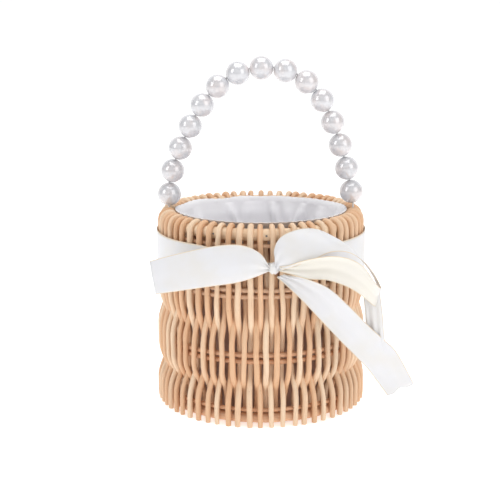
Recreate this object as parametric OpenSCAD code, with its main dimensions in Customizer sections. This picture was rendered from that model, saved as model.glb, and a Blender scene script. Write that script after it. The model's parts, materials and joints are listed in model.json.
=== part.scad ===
// Flower girl basket: a round willow basket with a cloth lining, a ribbon
// bow and a bail handle of pearls strung on a wire.
// Millimetres, +Z up. The origin is the centre of the underside, the bow
// faces -Y, and the handle stands in the XZ plane.

/* [Basket] */
// Height from the ground to the top of the wrapped rim
basket_h = 149.8; // [140:0.2:170]
// Outer diameter just under the rim
rim_d = 157.6; // [150:0.2:168]
// Outer diameter at the foot
foot_d = 161.8; // [150:0.2:176]

/* [Willow stakes] */
// Thickness of one stake, from the inside of the wall to the outside
stake_d = 3.8; // [3:0.1:4]
// Width of one stake, round the wall
stake_w = 3; // [2.4:0.1:3.4]
// Number of stakes in each of the two sets
stake_count = 60; // [40:4:60]
// Radius of a stake's bends, to its middle line
stake_bend_r = 20; // [12:1:22]
// How far round the rim hoop a stake is wrapped, in degrees
wrap_angle = 150; // [120:5:155]
// Height where an inner stake is cut, below the centre of the rim hoop
inner_cut = 1; // [0.5:0.5:6]

/* [Hoops] */
// Rod diameter of the thick rim hoop
rim_hoop_d = 8.8; // [7:0.1:10]
// Rod diameter of the thin hoop under the rim
under_hoop_d = 3; // [2.5:0.1:3.4]
// Rod diameter of the two upper waist hoops
upper_hoop_d = 3.3; // [2.5:0.1:4]
// Rod diameter of the two lower waist hoops
lower_hoop_d = 3.5; // [2.5:0.1:4]
// Rod diameter of the thin foot hoop
foot_hoop_d = 3; // [2.5:0.1:3.4]
// Rod diameter of the thick base hoop
base_hoop_d = 7.2; // [6:0.1:8]
// Drop from the centre of the rim hoop to the hoop under it
under_drop = 7.6; // [7.2:0.1:12]
// Height of the middle of the upper pair
upper_z = 99; // [92:1:106]
// Height of the middle of the lower pair
lower_z = 50.8; // [46:0.2:58]
// Distance between the two hoops of a pair
pair_gap = 5; // [4.4:0.1:6]
// Height of the foot hoop
foot_hoop_z = 12.4; // [11.4:0.1:15]
// Height of the base hoop
base_hoop_z = 5.5; // [4.4:0.1:5.8]
// Clearance between a hoop and the stakes that touch it
seat = 0.1; // [0.08:0.01:0.15]

/* [Base and lining] */
// Thickness of the plywood base board
board_t = 4; // [3:0.5:6]
// Thickness of the lining cloth with its folds
lining_t = 1.2; // [0.8:0.1:2]
// Clearance between the lining and what it lies on
lining_gap = 0.1; // [0.05:0.05:0.5]
// Where the lining's hem ends on the rim, in degrees round the rim hoop
hem_angle = 125; // [115:5:135]

/* [Brads] */
// Number of brads in the rim hoop
brad_count = 12; // [6:6:12]
// Shank diameter of a brad
brad_d = 0.8; // [0.6:0.1:1]
// Length of a brad's shank
brad_l = 5; // [3:0.5:6]
// Head diameter of a brad
brad_head_d = 1.6; // [1.2:0.1:2]
// Thickness of a brad's head
brad_head_t = 0.5; // [0.4:0.1:0.8]

/* [Handle] */
// Diameter of a pearl
pearl_d = 17.8; // [14:0.1:17.8]
// Length of wire that one pearl takes up
pearl_pitch = 18.35; // [18.35:0.05:19]
// Diameter of the handle wire
wire_d = 1.2; // [1:0.1:1.6]
// Radial clearance between a pearl's bore and the wire
bore_clearance = 0.09; // [0.07:0.01:0.1]
// How much fatter the wire is at its eyes and knees, on the radius
knee_swell = 0.05; // [0.03:0.01:0.06]
// Clearance between the wire's eye and the rim hoop
eye_clearance = 0.4; // [0.3:0.05:0.6]
// Clearance between the eye and the cut stake below it
eye_drop = 0.8; // [0.5:0.1:2]
// Distance from the centre of the rim hoop to the start of the first pearl
neck_l = 8; // [7:0.1:12]

/* [Ribbon] */
// Width of the ribbon
ribbon_w = 28; // [20:1:32]
// Thickness of the band and of the bow's strips
ribbon_t = 0.8; // [0.5:0.1:1.2]
// Height of the middle of the band
ribbon_z = 119.5; // [112:0.5:122]
// Clearance between the band and the stakes
band_gap = 0.2; // [0.05:0.05:0.5]

/* [Hidden] */
$fn = 48;
WRAP_STEPS = 8;
BEND_STEPS = 1;
HEM_STEPS = 8;
PEARL_LEAN = [88, 74, 67, 63, 57, 43, 22, 3, -16, -39, -59, -69, -72, -76, -80];
pearls = len(PEARL_LEAN);
function pearl_name(i) = str("pearl_", i < 9 ? "0" : "", i + 1);

// Rim: the wrap's centre line is an arc round the rim hoop.
wrap_r = rim_hoop_d / 2 + seat + stake_d / 2;
rim_z = basket_h - wrap_r - stake_d / 2;
function wall_r(z) = (foot_d + (rim_d - foot_d) * z / rim_z) / 2;
function outer_r(z) = wall_r(z) - stake_d / 2;
function hoop_r(z, d) = outer_r(z) - stake_d / 2 - seat - d / 2;
function inner_r(z, d) = hoop_r(z, d) - d / 2 - seat - stake_d / 2;
rim_r = outer_r(rim_z) - wrap_r;
rim_inner_r = rim_r - wrap_r;

// Stake routes in the radial plane, as [radius, height].
// Every bend stands off the hoops by bend_room.
bend_room = 3.8;
pair_run = pair_gap / 2 + max(upper_hoop_d, lower_hoop_d) / 2 + bend_room;
foot_run = foot_hoop_z + foot_hoop_d / 2 + bend_room;
wrapped_route = [
    [outer_r(0), 0],
    [outer_r(foot_run), foot_run],
    [inner_r(lower_z, lower_hoop_d), lower_z - pair_run],
    [inner_r(lower_z, lower_hoop_d), lower_z + pair_run],
    [outer_r(upper_z), upper_z - pair_run],
    [outer_r(upper_z), upper_z + pair_run],
    [outer_r(rim_z), rim_z - under_drop - under_hoop_d],
    [outer_r(rim_z), rim_z]];
base_inner_r = inner_r(base_hoop_z, base_hoop_d);
inner_route = [
    [base_inner_r, 0],
    [base_inner_r, foot_run],
    [outer_r(lower_z), lower_z - pair_run],
    [outer_r(lower_z), lower_z + pair_run],
    [inner_r(upper_z, upper_hoop_d), upper_z - pair_run],
    [inner_r(upper_z, upper_hoop_d), upper_z + pair_run],
    [rim_inner_r, rim_z - rim_hoop_d],
    [rim_inner_r, rim_z - inner_cut]];
// The wrap goes on from the top of the route, round the rim hoop and inwards.
wrap_line = [for (k = [1 : WRAP_STEPS])
    let (a = wrap_angle * k / WRAP_STEPS)
        [rim_r + wrap_r * cos(a), rim_z + wrap_r * sin(a)]];
// The two stakes under the handle's eyes stop below the rim hoop.
short_top = rim_z - rim_hoop_d / 2 - eye_clearance - wire_d - eye_drop;
short_route = concat([for (i = [0 : len(wrapped_route) - 2]) wrapped_route[i]],
                     [[outer_r(rim_z), short_top]]);

function unit(v) = v / norm(v);
// A route with each corner turned into an arc of radius r.
function heading(a, b) = atan2(b[1] - a[1], b[0] - a[0]);
function corner(p, q, s, r) =
    let (turn = heading(q, s) - heading(p, q),
         side = sign(turn),
         start = q - unit(q - p) * r * tan(abs(turn) / 2),
         u = unit(q - p),
         centre = start + side * r * [-u[1], u[0]])
    abs(turn) < 0.01 ? [q]
        : [for (k = [0 : BEND_STEPS])
            let (a = heading(p, q) + turn * k / BEND_STEPS)
                centre + side * r * [sin(a), -cos(a)]];
function rounded(route, r) = concat(
    [route[0]],
    [for (i = [1 : len(route) - 2])
        each corner(route[i - 1], route[i], route[i + 1], r)],
    [route[len(route) - 1]]);
// The outline of a stake whose middle line runs through the given points.
function turned(v) = [v[1], -v[0]];
function side_point(line, i, s) =
    let (n = len(line) - 1,
         before = unit(line[max(i, 1)] - line[max(i, 1) - 1]),
         after = unit(line[min(i, n - 1) + 1] - line[min(i, n - 1)]),
         middle = unit(before + after))
    line[i] + s * turned(middle) * stake_d / 2 / (middle * before);
function outline(line) = concat(
    [for (i = [0 : len(line) - 1]) side_point(line, i, 1)],
    [for (i = [len(line) - 1 : -1 : 0]) side_point(line, i, -1)]);

// Handle: an eye round the rim hoop at each side, a neck, and one straight
// length of wire through each pearl, leaning as PEARL_LEAN says.
eye_d = wire_d + 2 * knee_swell;
eye_r = rim_hoop_d / 2 + eye_clearance + eye_d / 2;
bore_r = wire_d / 2 + bore_clearance;
first_knee = [-rim_r, rim_z + neck_l];
function knee(i) = i == 0 ? first_knee
    : knee(i - 1) + pearl_pitch * [cos(PEARL_LEAN[i - 1]), sin(PEARL_LEAN[i - 1])];

// Bow: stations of the strips, each [centre, direction across the ribbon],
// with the ribbon's share of its full width there.
front_y = -wall_r(ribbon_z) - band_gap - ribbon_t;
KNOT = [9, -6, 1.5];
KNOT_SIZE = [11, 11, 14];
LOOP_RUN = [
    [[14, -6, 3], [0, 0, 1], 0.35], [[24, -3, 14], [0, 0.1, 1], 0.85],
    [[42, 2, 15], [0, 0.2, 1], 1], [[60, 9, 5], [0.2, 0.2, 1], 1],
    [[74, 12, -8], [0.4, 0.2, 1], 1], [[81, 6, -15], [0.5, 0, 1], 1],
    [[76, -6, -11], [0.3, -0.1, 1], 1], [[61, -16, 1], [0, 0.3, 1], 0.85],
    [[45, -20, 6], [0, 0.3, 1], 0.75], [[30, -17, 4], [0, 0.2, 1], 0.55],
    [[15, -11, 2.5], [0, 0, 1], 0.25]];
TAIL_LEFT_RUN = [
    [[4, -7, 2], [0, 0, 1], 0.3], [[-8, -7, 4.5], [0, 0, 1], 0.85],
    [[-30, -5, 3], [0.1, 0, 1], 1], [[-54, 1, -2], [0.15, 0, 1], 1],
    [[-77, 9, -8], [0.1, -0.3, 1], 0.95]];
TAIL_RIGHT_RUN = [
    [[12.5, -10, -5], [1, 0, 0.5], 0.28], [[30, -11, -18], [1, 0.2, 0.8], 0.75],
    [[50, -7, -37], [1, 0.4, 1], 0.9], [[74, -2, -61], [1, 0.4, 1], 0.95],
    [[90, 4, -78], [1, 0.4, 0.8], 0.95], [[102, 10, -93], [1, 0.4, 0.4], 0.9]];
function anchored(p) = [p[0], front_y + p[1], ribbon_z + p[2]];
// Direction along a strip at station i, from its neighbours.
function along(run, i) =
    unit(run[min(i + 1, len(run) - 1)][0] - run[max(i - 1, 0)][0]);
function across(run, i) = unit(run[i][1]) * run[i][2] * ribbon_w / 2;
function proud(run, i) = unit(cross(along(run, i), run[i][1])) * ribbon_t / 2;

// One straight rod between two points of the radial plane.
module rod(a, b, d) {
    v = b - a;
    translate([a[0], 0, a[1]])
        rotate([0, atan2(v[0], v[1]), 0])
            cylinder(d = d, h = norm(v));
}

// A stake standing in the radial plane, its middle line given as points.
module stake(line) {
    rotate([90, 0, 0])
        translate([0, 0, -stake_w / 2])
            linear_extrude(height = stake_w)
                polygon(outline(line));
}

module hoop(z, r, d) {
    translate([0, 0, z])
        rotate_extrude($fn = 96)
            translate([r, 0])
                circle(d = d);
}

module base_board() {
    color("burlywood")
        cylinder(r = base_inner_r - stake_d / 2 - seat, h = board_t, $fn = 96);
}

module base_hoop() {
    color("peru") hoop(base_hoop_z, hoop_r(base_hoop_z, base_hoop_d), base_hoop_d);
}

module foot_hoop() {
    color("peru") hoop(foot_hoop_z, hoop_r(foot_hoop_z, foot_hoop_d), foot_hoop_d);
}

module lower_hoop(side) {
    color("sandybrown")
        hoop(lower_z + side * pair_gap / 2, hoop_r(lower_z, lower_hoop_d), lower_hoop_d);
}

module upper_hoop(side) {
    color("sandybrown")
        hoop(upper_z + side * pair_gap / 2, hoop_r(upper_z, upper_hoop_d), upper_hoop_d);
}

module under_rim_hoop() {
    color("sandybrown") hoop(rim_z - under_drop, hoop_r(rim_z, under_hoop_d), under_hoop_d);
}

module rim_hoop() {
    color("wheat")
        difference() {
            hoop(rim_z, rim_r, rim_hoop_d);
            each_brad() cylinder(d = brad_d, h = brad_l + seat);
        }
}

// Places a brad's shank, pointing inwards, midway between two wraps.
module each_brad() {
    for (i = [0 : brad_count - 1])
        rotate([0, 0, (floor(i * stake_count / brad_count) + 0.5) * 360 / stake_count])
            translate([rim_r + rim_hoop_d / 2, 0, rim_z])
                rotate([0, -90, 0])
                    children();
}

module rim_brads() {
    color("dimgray")
        each_brad() {
            cylinder(d = brad_d, h = brad_l);
            translate([0, 0, -brad_head_t])
                cylinder(d = brad_head_d, h = brad_head_t);
        }
}

// Every stake of this set is bent over the rim hoop but the two at the handle.
module wrapped_stakes() {
    tall = concat(rounded(wrapped_route, stake_bend_r), wrap_line);
    short = rounded(short_route, stake_bend_r);
    color("tan")
        for (i = [0 : stake_count - 1])
            rotate([0, 0, i * 360 / stake_count])
                stake(i % (stake_count / 2) == 0 ? short : tall);
}

module inner_stakes() {
    line = rounded(inner_route, stake_bend_r);
    color("burlywood")
        for (i = [0 : stake_count - 1])
            rotate([0, 0, (i + 0.5) * 360 / stake_count])
                stake(line);
}

// The lining hangs from its hem, which is stuck over the ends of the wraps.
lining_out = wrap_r + stake_d / 2 + lining_gap;
lining_r = rim_r - lining_out;
lining_z = board_t + lining_gap;
// Its foot keeps inside the stakes where the base is the narrower end.
lining_foot_r = min(lining_r, base_inner_r - stake_d / 2 - lining_gap);
function hem_points(r) = [for (k = [0 : HEM_STEPS])
    let (a = 180 + (hem_angle - 180) * k / HEM_STEPS)
        [rim_r + r * cos(a), rim_z + r * sin(a)]];
module lining_wall() {
    inner = hem_points(lining_out + lining_t);
    outer = hem_points(lining_out);
    color("white")
        rotate_extrude($fn = 96)
            polygon(concat([[lining_foot_r, lining_z]], outer,
                           [for (k = [0 : HEM_STEPS]) inner[HEM_STEPS - k]],
                           [[lining_foot_r - lining_t, lining_z]]));
}

module lining_floor() {
    color("white")
        translate([0, 0, lining_z])
            cylinder(r = lining_foot_r - lining_t - seat, h = lining_t, $fn = 96);
}

module ribbon_band() {
    low = ribbon_z - ribbon_w / 2;
    r = max(wall_r(low), wall_r(low + ribbon_w)) + band_gap;
    color("ivory")
        translate([0, 0, low])
            rotate_extrude($fn = 96)
                translate([r, 0])
                    square([ribbon_t, ribbon_w]);
}

// A strip of ribbon through the stations of a run, as one closed solid.
module strip(run) {
    n = len(run);
    points = [for (i = [0 : n - 1], s = [[-1, -1], [1, -1], [1, 1], [-1, 1]])
        anchored(run[i][0]) + s[0] * across(run, i) + s[1] * proud(run, i)];
    sides = [for (i = [0 : n - 2], k = [0 : 3])
        [4 * i + k, 4 * i + (k + 1) % 4, 4 * i + 4 + (k + 1) % 4, 4 * i + 4 + k]];
    triangles = [for (q = sides, t = [[0, 1, 2], [0, 2, 3]]) [for (j = t) q[j]]];
    caps = [[0, 2, 1], [0, 3, 2],
            [4 * n - 4, 4 * n - 3, 4 * n - 2], [4 * n - 4, 4 * n - 2, 4 * n - 1]];
    polyhedron(points = points, faces = concat(triangles, caps), convexity = 4);
}

module bow_knot() {
    color("ivory")
        translate(anchored(KNOT))
            intersection() {
                cube(KNOT_SIZE, center = true);
                sphere(d = KNOT_SIZE[2] * 1.15, $fn = 48);
            }
}

module bow_loop() { color("seashell") strip(LOOP_RUN); }
module tail_left() { color("ivory") strip(TAIL_LEFT_RUN); }
module tail_right() { color("ivory") strip(TAIL_RIGHT_RUN); }

// The wire turns at a small ball in each gap between two pearls.
module handle_wire() {
    last = knee(pearls);
    color("silver") {
        for (x = [-rim_r, rim_r])
            translate([x, 0, rim_z])
                rotate([90, 0, 0])
                    rotate_extrude()
                        translate([eye_r, 0])
                            circle(d = eye_d);
        rod([-rim_r, rim_z + eye_r], first_knee, wire_d);
        rod(last, [rim_r, rim_z + eye_r], wire_d);
        for (i = [0 : pearls - 1])
            rod(knee(i), knee(i + 1), wire_d);
        for (i = [0 : pearls])
            translate([knee(i)[0], 0, knee(i)[1]])
                sphere(d = eye_d);
    }
}

module pearl(i) {
    middle = (knee(i) + knee(i + 1)) / 2;
    color("whitesmoke")
        translate([middle[0], 0, middle[1]])
            rotate([0, 90 - PEARL_LEAN[i], 0])
                difference() {
                    sphere(d = pearl_d, $fn = 72);
                    cylinder(r = bore_r, h = 2 * pearl_d, center = true);
                }
}

base_board();
base_hoop();
foot_hoop();
lower_hoop(-1);  // lower_hoop_bottom
lower_hoop(1);  // lower_hoop_top
upper_hoop(-1);  // upper_hoop_bottom
upper_hoop(1);  // upper_hoop_top
under_rim_hoop();
rim_hoop();
rim_brads();
wrapped_stakes();
inner_stakes();
lining_wall();
lining_floor();
ribbon_band();
bow_knot();
bow_loop();
tail_left();
tail_right();
handle_wire();
for (i = [0 : pearls - 1])
    pearl(i);
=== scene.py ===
"""Looks of a flower girl basket: willow, cotton lining, satin bow and pearl handle.

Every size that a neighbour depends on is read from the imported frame. Metres, +Z up.
"""

import json
import logging
import math
from dataclasses import dataclass, field
from enum import Enum
from typing import Any, ClassVar, Sequence

import bmesh
import bpy
import numpy as np
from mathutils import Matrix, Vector, noise


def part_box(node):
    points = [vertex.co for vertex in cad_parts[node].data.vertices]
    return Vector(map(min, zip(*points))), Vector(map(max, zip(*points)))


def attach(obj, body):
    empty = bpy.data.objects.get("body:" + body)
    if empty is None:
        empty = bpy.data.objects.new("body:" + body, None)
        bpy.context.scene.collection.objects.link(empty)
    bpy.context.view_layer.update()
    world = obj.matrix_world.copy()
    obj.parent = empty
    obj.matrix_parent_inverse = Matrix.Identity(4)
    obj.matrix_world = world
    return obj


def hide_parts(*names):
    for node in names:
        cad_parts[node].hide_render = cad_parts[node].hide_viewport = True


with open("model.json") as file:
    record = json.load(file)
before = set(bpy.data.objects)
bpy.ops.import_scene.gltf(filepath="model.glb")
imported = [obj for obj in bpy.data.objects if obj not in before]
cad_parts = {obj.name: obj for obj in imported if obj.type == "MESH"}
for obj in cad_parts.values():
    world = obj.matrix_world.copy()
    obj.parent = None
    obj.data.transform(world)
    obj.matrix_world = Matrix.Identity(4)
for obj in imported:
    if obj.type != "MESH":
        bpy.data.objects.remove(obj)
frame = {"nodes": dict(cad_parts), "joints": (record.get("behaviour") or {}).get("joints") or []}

LOG = logging.getLogger("basket")
MM = 0.001
WELD = 1e-6
ON_AXIS = 1e-5
BASKET = "basket"
TAU = 2 * math.pi
Colour = tuple[float, float, float]
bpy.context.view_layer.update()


class Slot(Enum):
    """The record's material slots."""

    WILLOW = "willow"
    HOOP = "hoop_willow"
    RIM = "rim_willow"
    PLYWOOD = "plywood"
    BRAD = "brad"
    LINING = "lining"
    RIBBON = "ribbon"
    WIRE = "wire"
    PEARL = "pearl"


def srgb(red: int, green: int, blue: int) -> Colour:
    """Turns a screen colour, 0 to 255, into linear light.

    Args:
        red: Red level.
        green: Green level.
        blue: Blue level.

    Returns:
        The linear colour.
    """
    return tuple(
        v / 12.92 if v <= 0.04045 else ((v + 0.055) / 1.055) ** 2.4
        for v in (red / 255, green / 255, blue / 255)
    )


def smooth(t: float) -> float:
    """Eases a share from 0 to 1 at both ends."""
    t = min(max(t, 0.0), 1.0)
    return t * t * (3 - 2 * t)


def wander(a: float, b: float = 0.0, c: float = 0.0) -> float:
    """Smooth noise from about -1 to 1 at a point."""
    return noise.noise(Vector((a, b, c)))


# ---------------------------------------------------------------- shader maths


class Wire:
    """One socket of a node tree, so that maths on it adds the nodes it needs."""

    def __init__(self, net: "Net", socket: Any) -> None:
        """Wraps a socket.

        Args:
            net: The tree that holds it.
            socket: The output socket.
        """
        self.net = net
        self.socket = socket

    def _maths(self, operation: str, *terms: Any) -> "Wire":
        """Adds one Math node."""
        kind = "ShaderNodeMath"
        return self.net.add(kind, {"operation": operation}, dict(enumerate(terms)))

    def __add__(self, other: Any) -> "Wire":
        """Adds."""
        return self._maths("ADD", self, other)

    def __sub__(self, other: Any) -> "Wire":
        """Subtracts."""
        return self._maths("SUBTRACT", self, other)

    def __rsub__(self, other: Any) -> "Wire":
        """Subtracts this socket from a number."""
        return self._maths("SUBTRACT", other, self)

    def __mul__(self, other: Any) -> "Wire":
        """Multiplies."""
        return self._maths("MULTIPLY", self, other)

    def __truediv__(self, other: Any) -> "Wire":
        """Divides."""
        return self._maths("DIVIDE", self, other)

    def __pow__(self, other: Any) -> "Wire":
        """Raises to a power."""
        return self._maths("POWER", self, other)

    __radd__ = __add__
    __rmul__ = __mul__

    def over(self, edge: float) -> "Wire":
        """1 where this socket is over an edge."""
        return self._maths("GREATER_THAN", self, edge)

    def sine(self) -> "Wire":
        """The sine, in radians."""
        return self._maths("SINE", self)

    def size(self) -> "Wire":
        """The value without its sign."""
        return self._maths("ABSOLUTE", self)

    def clamp(self, low: float = 0.0, high: float = 1.0) -> "Wire":
        """Holds the value between two ends."""
        return self.net.add("ShaderNodeClamp", {}, {0: self, 1: low, 2: high})

    def ramp(self, start: float, end: float) -> "Wire":
        """0 before start, 1 after end, and eased between."""
        settings = {"interpolation_type": "SMOOTHSTEP"}
        return self.net.add("ShaderNodeMapRange", settings, {0: self, 1: start, 2: end})


class Net:
    """A node tree, built by adding nodes from Python."""

    def __init__(self, tree: bpy.types.NodeTree) -> None:
        """Starts on an existing tree.

        Args:
            tree: A material's tree or a Geometry Nodes group.
        """
        self.tree = tree

    def put(self, kind: str, settings: dict[str, Any], values: dict[Any, Any]) -> Any:
        """Adds any node.

        Args:
            kind: The node's type.
            settings: Its properties.
            values: Socket name or index, to a number or a Wire.

        Returns:
            The node.
        """
        node = self.tree.nodes.new(kind)
        for name, value in settings.items():
            setattr(node, name, value)
        for name, value in values.items():
            socket = node.inputs[name]
            if isinstance(value, Wire):
                self.tree.links.new(value.socket, socket)
            elif isinstance(value, tuple) and socket.type == "RGBA":
                socket.default_value = (*value, 1)
            else:
                socket.default_value = value
        return node

    def add(
        self, kind: str, settings: dict[str, Any], values: dict[Any, Any], out: Any = 0
    ) -> Wire:
        """Adds any node and returns one of its outputs.

        Args:
            kind: The node's type.
            settings: Its properties.
            values: Socket name or index, to a number or a Wire.
            out: Name or index of the output.

        Returns:
            That output.
        """
        return Wire(self, self.put(kind, settings, values).outputs[out])

    def named(self, name: str) -> Wire:
        """The piece's own attribute of that name, as a number."""
        return self.add("ShaderNodeAttribute", {"attribute_name": name}, {}, "Fac")

    def place(self, scale: Sequence[float], source: str = "Object") -> Wire:
        """Coordinates, scaled along each axis.

        Args:
            scale: The three scales.
            source: Object or UV.

        Returns:
            The scaled vector.
        """
        where = self.add("ShaderNodeTexCoord", {}, {}, source)
        return self.add("ShaderNodeMapping", {}, {"Vector": where, "Scale": tuple(scale)})

    def join(self, x: Any, y: Any, z: Any) -> Wire:
        """A vector of three numbers or Wires."""
        return self.add("ShaderNodeCombineXYZ", {}, {0: x, 1: y, 2: z})

    def split(self, where: Wire) -> list[Wire]:
        """The three numbers of a vector."""
        node = self.put("ShaderNodeSeparateXYZ", {}, {0: where})
        return [Wire(self, part) for part in node.outputs]

    def noise(self, where: Wire, scale: float, detail: float = 2.0) -> Wire:
        """Smooth noise from 0 to 1.

        Args:
            where: The vector that it is read at.
            scale: How many features there are per unit.
            detail: Octaves.

        Returns:
            The noise.
        """
        values = {"Vector": where, "Scale": scale, "Detail": detail}
        return self.add("ShaderNodeTexNoise", {}, values)

    def mix(self, share: Any, first: Any, second: Any) -> Wire:
        """A colour between two.

        Args:
            share: 0 for the first, 1 for the second.
            first: Colour or Wire.
            second: Colour or Wire.

        Returns:
            The mixed colour.
        """
        node = self.put("ShaderNodeMix", {"data_type": "RGBA"}, {"Factor": share})
        for socket, value in zip(node.inputs[6:8], (first, second)):
            if isinstance(value, Wire):
                self.tree.links.new(value.socket, socket)
            else:
                socket.default_value = (*value, 1)
        return Wire(self, node.outputs[2])

    def bump(self, height: Wire, depth: float) -> Wire:
        """A normal from a height.

        Args:
            height: 0 to 1.
            depth: Metres from the lowest to the highest.

        Returns:
            The normal.
        """
        values = {"Strength": 1.0, "Distance": depth, "Height": height}
        return self.add("ShaderNodeBump", {}, values)


# ------------------------------------------------------------------- finishes


@dataclass(frozen=True)
class Finish:
    """A material with one Principled shader: fixed sockets, and wires that vary."""

    fixed: ClassVar[dict[str, Any]] = {}

    def make(self, name: str) -> Any:
        """Builds the material.

        Args:
            name: The material's name.

        Returns:
            The material.
        """
        material = bpy.data.materials.new(name)
        material.use_nodes = True
        net = Net(material.node_tree)
        net.tree.nodes.clear()
        face = net.add("ShaderNodeBsdfPrincipled", {}, {**self.fixed, **self.dress(net)})
        net.put("ShaderNodeOutputMaterial", {}, {"Surface": face})
        return material

    def dress(self, net: Net) -> dict[str, Wire]:
        """Wires what varies over the surface.

        Args:
            net: The material's tree.

        Returns:
            The varying sockets, by name.
        """
        raise NotImplementedError


@dataclass(frozen=True)
class Willow(Finish):
    """Peeled willow: each rod its own tone, with fibres, freckles and blotches."""

    pale: Colour
    warm: Colour
    dark: Colour
    spread: float = 1.0
    fibre: float = 0.00012
    fixed = {"Specular IOR Level": 0.35}

    def dress(self, net: Net) -> dict[str, Wire]:
        """Wires colour, roughness and relief."""
        rod = net.named("grain_id")
        along = net.named("along")
        around = net.named("around")
        turn = around * TAU
        seed = rod * 37
        ring = net.join(turn.sine() * 0.6, (turn + math.pi / 2).sine() * 0.6, seed)
        streak_at = net.join(turn.sine() * 2.2 + seed, (turn + 1.57).sine() * 2.2, along * 22)
        streak = net.noise(streak_at, 2.2, 4)
        blotch = net.noise(net.join(seed, around * 0.7, along * 26), 1.0, 3)
        fleck_at = net.join(seed, turn.sine() + around * 3, along * 230)
        fleck = net.noise(fleck_at, 2.6, 2).ramp(0.68, 0.76)
        tone = (rod * 7.13).sine() * 0.5 * self.spread + 0.5
        body = net.mix(tone.ramp(0.1, 0.95), self.pale, self.warm)
        patchy = net.mix(blotch.ramp(0.42, 0.72) * 0.42, body, self.warm)
        lined = net.mix(streak.ramp(0.5, 0.78) * 0.4, patchy, self.dark)
        bleached = net.mix(net.noise(ring, 1.4, 2).ramp(0.55, 0.8) * 0.35, lined, self.pale)
        colour = net.mix(fleck * 0.45, bleached, self.dark)
        height = streak * 0.6 + net.noise(streak_at, 7.0, 2) * 0.4 - fleck * 0.4
        return {
            "Base Color": colour,
            "Roughness": 0.46 + streak * 0.22,
            "Normal": net.bump(height, self.fibre),
        }


@dataclass(frozen=True)
class Plywood(Finish):
    """The base board: flat-cut face grain and plies at the edge."""

    pale: Colour = srgb(222, 190, 150)
    line: Colour = srgb(176, 128, 84)
    fixed = {"Specular IOR Level": 0.3}

    def dress(self, net: Net) -> dict[str, Wire]:
        """Wires the grain."""
        where = net.place((30, 260, 900))
        warp = net.noise(net.place((18, 40, 0)), 1.0, 3)
        grain = net.noise(where, 1.0, 5)
        rings = ((warp * 46).sine() * 0.5 + 0.5) ** 3
        share = rings * 0.45 + grain.ramp(0.5, 0.8) * 0.35
        return {
            "Base Color": net.mix(share, self.pale, self.line),
            "Roughness": 0.5 + grain * 0.25,
            "Normal": net.bump(grain * 0.5 + rings * 0.5, 0.00015),
        }


@dataclass(frozen=True)
class Cotton(Finish):
    """Plain white cotton with a fine weave."""

    thread: float = 0.0005
    white: Colour = srgb(252, 251, 253)
    shade: Colour = srgb(242, 240, 244)
    # painted shade: warm dark colour for the lining's outer face below the rim, which lies in shade
    # behind the stakes
    painted_shade: Colour = srgb(206, 172, 156)
    painted_shade_top: float = 0.128
    fixed = {"Sheen Weight": 0.25, "Sheen Roughness": 0.6, "Specular IOR Level": 0.2}

    def dress(self, net: Net) -> dict[str, Wire]:
        """Wires the weave, and painted shade on the outer face below the rim."""
        turn = math.pi / self.thread
        across, along, _ = net.split(net.place((turn, turn, 1), "UV"))
        over_under = (across.sine() * along.sine()) * 0.5 + 0.5
        slub = net.noise(net.place((240, 1900, 0), "UV"), 1.0, 3)
        cloud = net.noise(net.place((60, 60, 60)), 1.0, 3)
        share = over_under * 0.35 + cloud.ramp(0.4, 0.75) * 0.4
        # painted shade: the outer face takes the warm dark shade colour below the rim height
        low = net.split(net.place((1, 1, 1)))[2].ramp(self.painted_shade_top + 0.006, self.painted_shade_top)
        under = net.named("under").ramp(0.4, 0.6) * low
        return {
            "Base Color": net.mix(under, net.mix(share, self.white, self.shade), self.painted_shade),
            "Roughness": 0.82 + slub * 0.1,
            "Normal": net.bump(over_under * 0.7 + slub * 0.5, 0.00009),
        }


@dataclass(frozen=True)
class Satin(Finish):
    """Ivory satin ribbon: ribs too fine to count, a beige selvedge, and painted warm reflection on the
    loop's front layer.
    """

    white: Colour = srgb(231, 231, 234)
    ivory: Colour = srgb(229, 226, 221)
    # painted warm reflection: the warmer colour that stands in for warm light reflected onto the loop's
    # front layer
    painted_warm_reflection: Colour = srgb(238, 233, 222)
    selvedge: Colour = srgb(240, 220, 190)
    rib: float = 0.00055
    fixed = {"Sheen Weight": 0.3, "Sheen Roughness": 0.35, "Specular IOR Level": 0.45}

    def dress(self, net: Net) -> dict[str, Wire]:
        """Wires colour, gloss and ribs."""
        edge = net.named("edge")
        turn = TAU / self.rib
        ribs = net.split(net.place((0, turn, 1), "UV"))[1].sine() * 0.5 + 0.5
        cloud = net.noise(net.place((45, 45, 45)), 1.0, 3)
        thread = net.noise(net.place((1800, 90, 0), "UV"), 1.0, 2)
        plain = net.mix(cloud.ramp(0.35, 0.7) * 0.7, self.white, self.ivory)
        # painted warm reflection: where a strip is marked, the white turns warm, standing in for
        # reflected warm light
        body = net.mix(net.named("painted_warm_reflection") * (0.75 + cloud * 0.25), plain, self.painted_warm_reflection)
        return {
            "Base Color": net.mix(edge.ramp(0.3, 0.9) * 0.85, body, self.selvedge),
            "Roughness": 0.34 + thread * 0.12 + edge * 0.2,
            "Normal": net.bump(ribs * 0.5 + thread * 0.5, 0.00003),
        }


@dataclass(frozen=True)
class Pearl(Finish):
    """Imitation pearl: lacquered white with a faint nacre cloud."""

    white: Colour = srgb(217, 217, 221)
    rose: Colour = srgb(221, 213, 213)
    grey: Colour = srgb(203, 204, 209)
    fixed = {"Coat Roughness": 0.04, "Coat IOR": 2.2, "Specular IOR Level": 0.9}

    def dress(self, net: Net) -> dict[str, Wire]:
        """Wires the nacre."""
        cloud = net.noise(net.place((90, 90, 90)), 1.0, 3)
        second = net.noise(net.place((140, 120, 150)), 1.0, 2)
        layered = net.mix(cloud.ramp(0.4, 0.65), self.white, self.rose)
        return {
            "Base Color": net.mix(second.ramp(0.45, 0.7) * 0.6, layered, self.grey),
            "Roughness": 0.2 + cloud * 0.14,
            "Coat Weight": 0.75 + second * 0.25,
            "Normal": net.bump(cloud, 0.00002),
        }


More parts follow.
